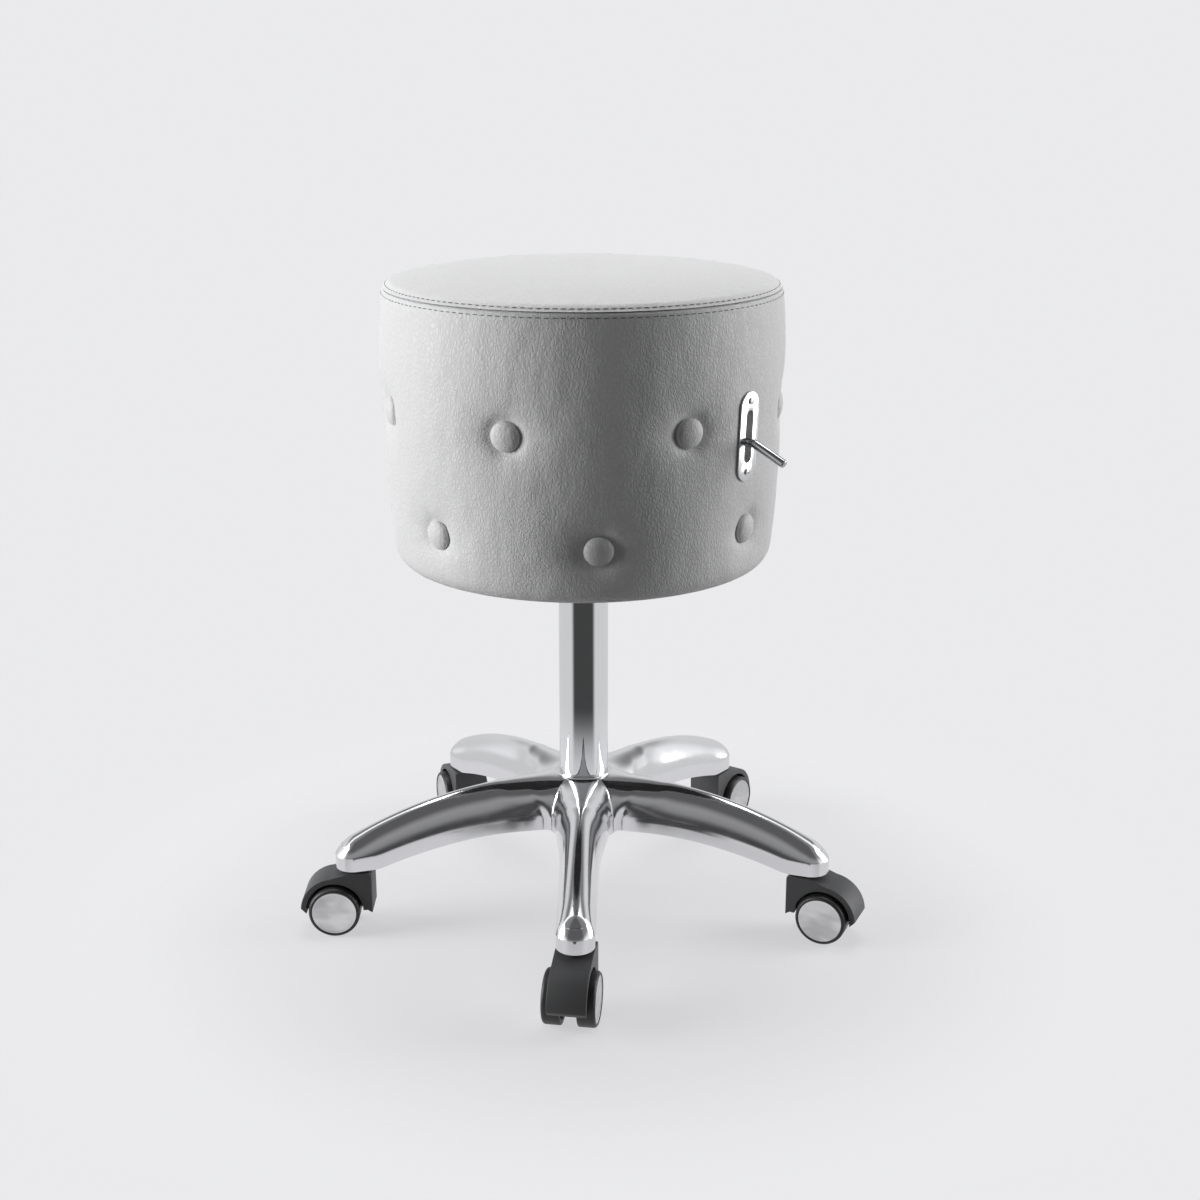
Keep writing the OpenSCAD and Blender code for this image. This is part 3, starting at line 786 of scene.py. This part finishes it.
tube = {"radius": 25, "inside": 23.2, "rodHole": 5.1, "bottom": 84, "plate": 88, "collar": 146,
    "edge": 0.6}
outer, inside, tubeTop = tube["radius"], tube["inside"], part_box("stand_tube")[1].z / mm
tubeSection = [(tube["rodHole"], tube["bottom"]), (23, tube["bottom"]), (24, tube["bottom"] + 1)]
tubeSection += [(outer, z) for z in (tube["collar"], 200, 260, 320, 380, tubeTop - tube["edge"])]
tubeSection += [(outer - tube["edge"], tubeTop), (inside + tube["edge"], tubeTop),
    (inside, tubeTop - tube["edge"]), (inside, 400), (inside - 1, 399), (inside - 1, tube["plate"]),
    (tube["rodHole"], tube["plate"]), (tube["rodHole"], tube["bottom"])]
standTube = turned("standTube", tubeSection, 160)
placed(smoothed(standTube, 20), "base", "chromed_steel", "stand_tube")

# Star

star = {"arms": 5, "turn": -1.4, "reach": 243, "tip": 18.5, "crestX": 60, "crestZ": 143,
    "crestRound": 417, "lowerRound": 520, "lowerZ": 94, "foot": 68.5, "band": 14, "ring": 30,
    "fillet": 12, "wall": 5, "edge": 0.8, "flare": 74, "hubRows": 9, "crotchMid": 66, "armRows": 30,
    "tipRows": 26, "crownColumns": 20, "wallColumns": 4}
widths = [(20, 30), (60, 26.5), (110, 20.5), (165, 18.8), (243, 18.5)]


def armTurn(k):
    return star["turn"] + 360 / star["arms"] * k


def armWidth(x):
    for k in range(len(widths) - 1):
        (x0, w0), (x1, w1) = widths[k], widths[k + 1]
        if x <= x1 or k == len(widths) - 2:
            def steep(n):
                n = min(max(n, 1), len(widths) - 2)
                return (widths[n + 1][1] - widths[n - 1][1]) / (widths[n + 1][0] - widths[n - 1][0])
            m0, m1, span = steep(k), steep(k + 1), x1 - x0
            if k == len(widths) - 2:
                m1 = 0
            t = (x - x0) / span
            return ((2 * t ** 3 - 3 * t * t + 1) * w0 + (t ** 3 - 2 * t * t + t) * span * m0
                + (3 * t * t - 2 * t ** 3) * w1 + (t ** 3 - t * t) * span * m1)


def crestHeight(x):
    past = max(0, x - star["crestX"])
    return star["crestZ"] - star["crestRound"] + math.sqrt(star["crestRound"] ** 2 - past ** 2)


def footHeight(x):
    past = max(0, x - star["crestX"])
    lower = star["lowerZ"] - star["lowerRound"] + math.sqrt(star["lowerRound"] ** 2 - past ** 2)
    return max(star["foot"], lower)


# Rows across half an arm, from the hub to the tip: where the middle and the edge are,
# how far the row is from the hub ring, and the angle it has gone round the tip.
def armRows():
    half = math.radians(180 / star["arms"])
    along = Vector((math.cos(half), math.sin(half)))
    count, crotchMid = star["hubRows"], star["crotchMid"]
    centreR = crotchMid  # found in a few rounds
    for _ in range(8):
        centreR = (armWidth(centreR * math.cos(half)) + star["fillet"]) / math.sin(half)
    crotch = centreR - star["fillet"]
    rows = []
    for k in range(count):
        t = k / count
        radius = star["ring"] + (crotch - star["ring"]) * t
        mid = star["ring"] + (crotchMid - star["ring"]) * t
        rows.append({"mid": mid, "edge": along * radius, "hub": t, "tip": 0})
    centre = along * centreR
    startAngle = math.atan2(-along.y, -along.x)
    for k in range(count):
        angle = startAngle + (math.radians(-90) - startAngle) * k / (count - 1)
        edge = centre + Vector((math.cos(angle), math.sin(angle))) * star["fillet"]
        rows.append({"mid": crotchMid + 11 * k / (count - 1), "edge": edge, "hub": 1, "tip": 0})
    startX, startMid = rows[-1]["edge"].x, rows[-1]["mid"]
    for k in range(1, star["armRows"] + 1):
        x = startX + (star["reach"] - startX) * k / star["armRows"]
        lead = (startMid - startX) * (1 - eased(startX, 130, x))
        rows.append({"mid": x + lead, "edge": Vector((x, armWidth(x))), "hub": 1, "tip": 0})
    for k in range(1, star["tipRows"] + 1):
        angle = math.radians(90 * k / star["tipRows"])
        x = star["reach"] + star["tip"] * math.sin(angle)
        edge = Vector((x, star["tip"] * math.cos(angle)))
        rows.append({"mid": x, "edge": edge, "hub": 1, "tip": angle})
    return rows


# One arm is a grid laid over those rows: a crown that falls to a wall around its edge.
def makeStar():
    rows, crotchRow = armRows(), star["hubRows"]
    crownColumns, wallColumns = star["crownColumns"], star["wallColumns"]
    count = crownColumns + wallColumns
    flare = math.radians(star["flare"])
    lowest, sine = math.cos(flare), math.sin(flare)

    def fallen(share):
        return (math.sqrt(1 - (share * sine) ** 2) - lowest) / (1 - lowest)
    arm = added("starArm", "grid", x_subdivisions=len(rows) - 1, y_subdivisions=count, size=1)
    doomed = set()
    for vertex in arm.data.vertices:
        i = round((vertex.co.x + 0.5) * (len(rows) - 1))
        j = round((vertex.co.y + 0.5) * count)
        row = rows[i]
        v = math.sin(math.radians(star["flare"] * min(1, j / crownColumns))) / sine
        edge, reachMid = row["edge"], row["mid"]
        angle = math.atan2(edge.y, edge.x) * v
        radius = reachMid + (edge.length - reachMid) * v * v
        x, y = radius * math.cos(angle), radius * math.sin(angle)
        if i > crotchRow + 8:
            straight = eased(crotchRow + 8, crotchRow + 20, i)
            x += (reachMid + (edge.x - reachMid) * v * v - x) * straight
            y += (edge.y * v - y) * straight
        foot = footHeight(edge.x if i >= crotchRow else star["crestX"])
        rim = foot + star["band"]
        crest = crestHeight(reachMid)
        rho = math.sqrt(math.sin(row["tip"]) ** 2 + (v * math.cos(row["tip"])) ** 2)
        crown = fallen(rho)
        if i < crotchRow:
            edgeZ = rim + (star["crestZ"] - rim) * fallen(row["hub"])
            soft = 0.5 + 0.5 * math.cos(math.pi * v)
            crown = soft + (crown - soft) * row["hub"]
            z = edgeZ + (crest - edgeZ) * crown
        else:
            z = rim + (crest - rim) * crown
        if j > crownColumns:
            down = (j - crownColumns) / wallColumns
            z = rim + (foot - rim) * down
            if i < crotchRow:
                doomed.add(vertex.index)
        vertex.co = (x * mm, y * mm, z * mm)
    editing(arm, "FACE")
    objectMode()
    for face in arm.data.polygons:
        face.select = any(v in doomed for v in face.vertices)
    bpy.ops.object.mode_set(mode="EDIT")
    bpy.ops.mesh.delete(type="FACE")
    objectMode()
    finished(arm, "MIRROR", use_axis=(False, True, False), merge_threshold=0.00002)
    arms = [copied(arm, "starArm", facing(armTurn(k))) for k in range(star["arms"])]
    dropped(arm)
    return tidied(joined("starBase", arms), 0.00004)


starBase = makeStar()
editing(starBase)
for least, most, above, repeat in ((0.032, 0.088, 0.110, 14), (0.045, 0.075, 0.112, 8)):
    selectWhere(starBase, lambda p: least < math.hypot(p.x, p.y) < most and p.z > above)
    bpy.ops.mesh.vertices_smooth(factor=0.5, repeat=repeat)
objectMode()
finished(starBase, "SOLIDIFY", thickness=star["wall"] * mm, offset=-1, use_even_offset=True)
bevelled(starBase, star["edge"], 2, 48)
hub = turned("hub", [(25.05, 80.4), (25.5, 80), (36, 80), (37, 81), (37, 134), (33, 137),
    (31, 142.4), (29.6, 143.3), (28.6, 144.4), (28.2, 145.5), (27.6, 146), (25.4, 146),
    (25.05, 145.7), (25.05, 80.4)], 128)
starParts = [starBase, hub]
for k in range(star["arms"]):
    boss = turned("boss", [(5.55, 68.6), (6, 68.4), (16.8, 68.4), (16.8, 74), (12, 92),
        (5.55, 92), (5.55, 68.6)], 48)
    boss.data.transform(facing(armTurn(k)) @ moved(star["reach"], 0, 0))
    starParts.append(boss)
starBase = joined("starBase", starParts)
placed(smoothed(starBase, 15), "base", "polished_aluminium", "base_star")
print("star made")

# Casters

caster = {"trail": 19, "wheel": 26, "inner": 7.8, "width": 51, "hoodWidth": 37, "hoodRound": 34.5,
    "hoodEdge": 2.4, "stemSide": 19.2, "well": 29, "wellDepth": 40, "web": 14.6,
    "axleHole": 4.05, "axleBoss": 9, "trailTurns": [-9, 66, 145, -160, -90]}


def casterPlace(k):
    turn = armTurn(k)
    return facing(turn) @ moved(star["reach"], 0, 0) @ facing(caster["trailTurns"][k] - turn + 90)


def makeHood():
    back, trail = caster["stemSide"], caster["trail"]
    outline = [(-back, 23.5), (-back, 62.5), (0.6 - back, 64.7), (2.4 - back, 66), (5, 66)]
    outline += arc(trail, caster["wheel"], caster["hoodRound"], 83, 3, 26)
    outline += [(trail + 34.3, 27.6), (trail + 29.4, 22.5), (trail + 10, 22.5), (-14.5, 26.5)]
    hood = slabOf("casterHood", outline, caster["hoodWidth"])
    bevelled(hood, caster["hoodEdge"], 4, 50)
    depth = caster["wellDepth"]
    for side in (-1, 1):
        well = added("well", "cylinder", vertices=96, radius=caster["well"] * mm, depth=depth * mm)
        well.data.transform(moved(trail, side * (caster["web"] / 2 + depth / 2), caster["wheel"])
            @ spun(90, "X"))
        cutBy(hood, well)
    ring = turned("hoodRing", [(6.2, 64), (13.4, 64), (13.4, 66.9), (12.6, 67.6), (11.4, 67.6),
        (10.9, 66.6), (6.2, 66.6), (6.2, 64)], 48)
    hole, boss, half = caster["axleHole"], caster["axleBoss"], caster["web"] / 2
    axleBoss = turned("axleBoss", [(hole, -half), (boss, -half), (boss, half), (hole, half),
        (hole, -half)], 48)
    axleBoss.data.transform(moved(trail, 0, caster["wheel"]) @ spun(90, "X"))
    return smoothed(joined("casterHood", [hood, axleBoss, ring]), 32)


def makeWheel():
    w = caster["width"] / 2 - caster["inner"]
    shoulder = arc(22.6, w - 3.4, 3.4, 0, 78, 7)
    section = [(4.1, 0), (9, 0), (9, 4), (20, 4), (21, 0.2), (24.6, 0), (25.6, 0.4), (26, 1.2),
        (26, 6), (26, w - 3.4)]
    section += [(x, z) for x, z in shoulder[1:]]
    section += [(22.9, w - 0.15), (22.62, w - 0.7), (22.62, w - 2.4), (20, w - 2.4), (20, 8),
        (9, 8), (9, 13), (4.1, 13), (4.1, 0)]
    return smoothed(turned("wheel", section, 96), 35)


def makeCap():
    cap = turned("cap", [(0, 0), (22.4, 0), (22.5, 0.2), (22.5, 1.3), (22.3, 1.6), (21.7, 1.75),
        (20.6, 1.7), (20.2, 1.55), (19.6, 1.6), (15, 1.95), (10, 2.2), (5, 2.35), (0, 2.4)], 96)
    layer = cap.data.uv_layers.new(name="disc")
    for loop in cap.data.loops:
        spot = cap.data.vertices[loop.vertex_index].co
        layer.data[loop.index].uv = (spot.x, spot.y)
    return smoothed(cap, 25)


hood, wheel, cap = makeHood(), makeWheel(), makeCap()
for k in range(star["arms"]):
    place = casterPlace(k)
    number = str(k + 1)
    own = copied(hood, "casterHood" + number, place)
    placed(own, "caster_" + number, "hood_plastic", "caster_hood_" + number)
    for side, word in ((1, "left"), (-1, "right")):
        turn = spun(-side * 90, "X")
        at = place @ moved(caster["trail"], side * caster["inner"], caster["wheel"]) @ turn
        body = "wheel_" + word + "_" + number
        placed(copied(wheel, "wheel" + word.title() + number, at), body, "wheel_nylon", body)
        seat = at @ moved(0, 0, caster["width"] / 2 - caster["inner"] - 2.4)
        cover = copied(cap, "cap" + word.title() + number, seat)
        placed(cover, body, "cap_chrome", "cap_" + word + "_" + number)
for master in (hood, wheel, cap):
    dropped(master)
print("casters made")

# Studio

studio = {"backdrop": (0.823, 0.823, 0.838), "floorSize": 0.7, "floorGlow": 0.66, "front": 0.06,
    "sides": 1.0, "behind": 0.72, "below": 0.70, "softFill": 0.07, "strip": 1.0, "horizon": 0.22}

farFloor = studio["floorSize"] * 1000
floor = turned("floor", [(0, -0.6), (farFloor / 2, -0.6), (farFloor, -0.6)], 96)
floorLook = Look("floorLook")
flat = floorLook.place((1, 1, 0))
spread = floorLook.node("ShaderNodeVectorMath", {"operation": "LENGTH"}, {0: flat}, 1)
fade = floorLook.ranged(spread, 0.30, 0.62)
paper = floorLook.noise(floorLook.place(), 300, 3.0)
paint = floorLook.blended(paper * 0.3, (0.30, 0.30, 0.305), (0.29, 0.29, 0.295))
plain = floorLook.node("ShaderNodeBsdfPrincipled", {}, {"Base Color": paint, "Roughness": 1.0,
    "Specular IOR Level": 0.0, "Emission Color": (*studio["backdrop"], 1),
    "Emission Strength": studio["floorGlow"]})
clear = floorLook.node("ShaderNodeBsdfTransparent", {}, {})
faded = floorLook.node("ShaderNodeMixShader", {}, {0: fade, 1: plain, 2: clear})
floorLook.node("ShaderNodeOutputMaterial", {}, {"Surface": faded})
dressed(floor, floorLook.material)
floor.visible_diffuse = False

world = bpy.data.worlds.new("studio")
bpy.context.scene.world = world
sky = Look("studio", world)
direction = sky.node("ShaderNodeTexCoord", {}, {}, "Generated")
east = sky.node("ShaderNodeSeparateXYZ", {}, {0: direction}, 0)
north = sky.node("ShaderNodeSeparateXYZ", {}, {0: direction}, 1)
height = sky.node("ShaderNodeSeparateXYZ", {}, {0: direction}, 2)
fromFront = sky.node("ShaderNodeMath", {"operation": "ABSOLUTE"},
    {0: sky.node("ShaderNodeMath", {"operation": "ARCTAN2"}, {0: east, 1: north * -1.0})})


def between(angle, low, high):
    return sky.ranged(angle, math.radians(low), math.radians(high))


sideGlow = between(fromFront, 41, 60)
behind = between(fromFront, 112, 128)
level = studio["front"] + sideGlow * (studio["sides"] - studio["front"])
level = level + behind * (studio["behind"] - studio["sides"])
level = level * (1 - sky.ranged(height, 0.30, 0.62) * 0.86) + sky.ranged(height, 0.05, 0.55) * 0.11
tilt = sky.node("ShaderNodeMath", {"operation": "ARCTAN2"}, {0: height, 1: north})
strip = between(tilt, 64, 70) * (1 - between(tilt, 82, 88))
aside = sky.ranged(sky.node("ShaderNodeMath", {"operation": "ABSOLUTE"}, {0: east}), 0.10, 0.25)
horizon = sky.ranged(height, -0.05, 0.14) * (1 - sky.ranged(height, 0.28, 0.62)) * (1 - sideGlow)
level = level + strip * aside * studio["strip"] + horizon * studio["horizon"]
low = 1 - sky.ranged(height, -0.10, 0.0)
level = level * (1 - low) + low * (studio["front"] + sideGlow * (studio["below"] - studio["front"]))
soft = sky.node("ShaderNodeLightPath", {}, {}, "Is Diffuse Ray")
glow = level * (1 - soft) + soft * studio["softFill"]
seen = sky.node("ShaderNodeLightPath", {}, {}, "Is Camera Ray")
shade = sky.node("ShaderNodeBackground", {}, {"Color": (0.985, 0.99, 1.0, 1), "Strength": glow})
paperTone = (*studio["backdrop"], 1)
backdrop = sky.node("ShaderNodeBackground", {}, {"Color": paperTone, "Strength": 1.0})
mixed = sky.node("ShaderNodeMixShader", {}, {0: seen, 1: shade, 2: backdrop})
sky.node("ShaderNodeOutputWorld", {}, {"Surface": mixed})


def softLight(name, spot, aim, width, height, power):
    data = bpy.data.lights.new(name, "AREA")
    data.shape, data.size, data.size_y, data.energy = "RECTANGLE", width, height, power
    lamp = bpy.data.objects.new(name, data)
    lamp.location = spot
    lamp.rotation_euler = (Vector(aim) - Vector(spot)).to_track_quat("-Z", "Y").to_euler()
    lamp.visible_camera = False
    bpy.context.collection.objects.link(lamp)


softLight("leftLight", (-2.0, -0.35, 0.75), (0, 0, 0.45), 1.0, 1.6, 40)
softLight("rightLight", (2.0, 0.25, 0.75), (0, 0, 0.45), 1.0, 1.6, 25)
softLight("topLight", (0.0, 0.45, 2.0), (0, 0, 0.5), 1.5, 0.7, 17)

camera = bpy.data.objects.new("camera", bpy.data.cameras.new("camera"))
camera.data.lens = 54.39
camera.data.sensor_width = 36
camera.location = (0.0168, -1.75, 0.870)
camera.rotation_euler = (math.pi / 2 - 0.3002, 0, 0)
bpy.context.collection.objects.link(camera)
bpy.context.scene.camera = camera
bpy.context.scene.view_settings.view_transform = "Standard"
print("studio made")
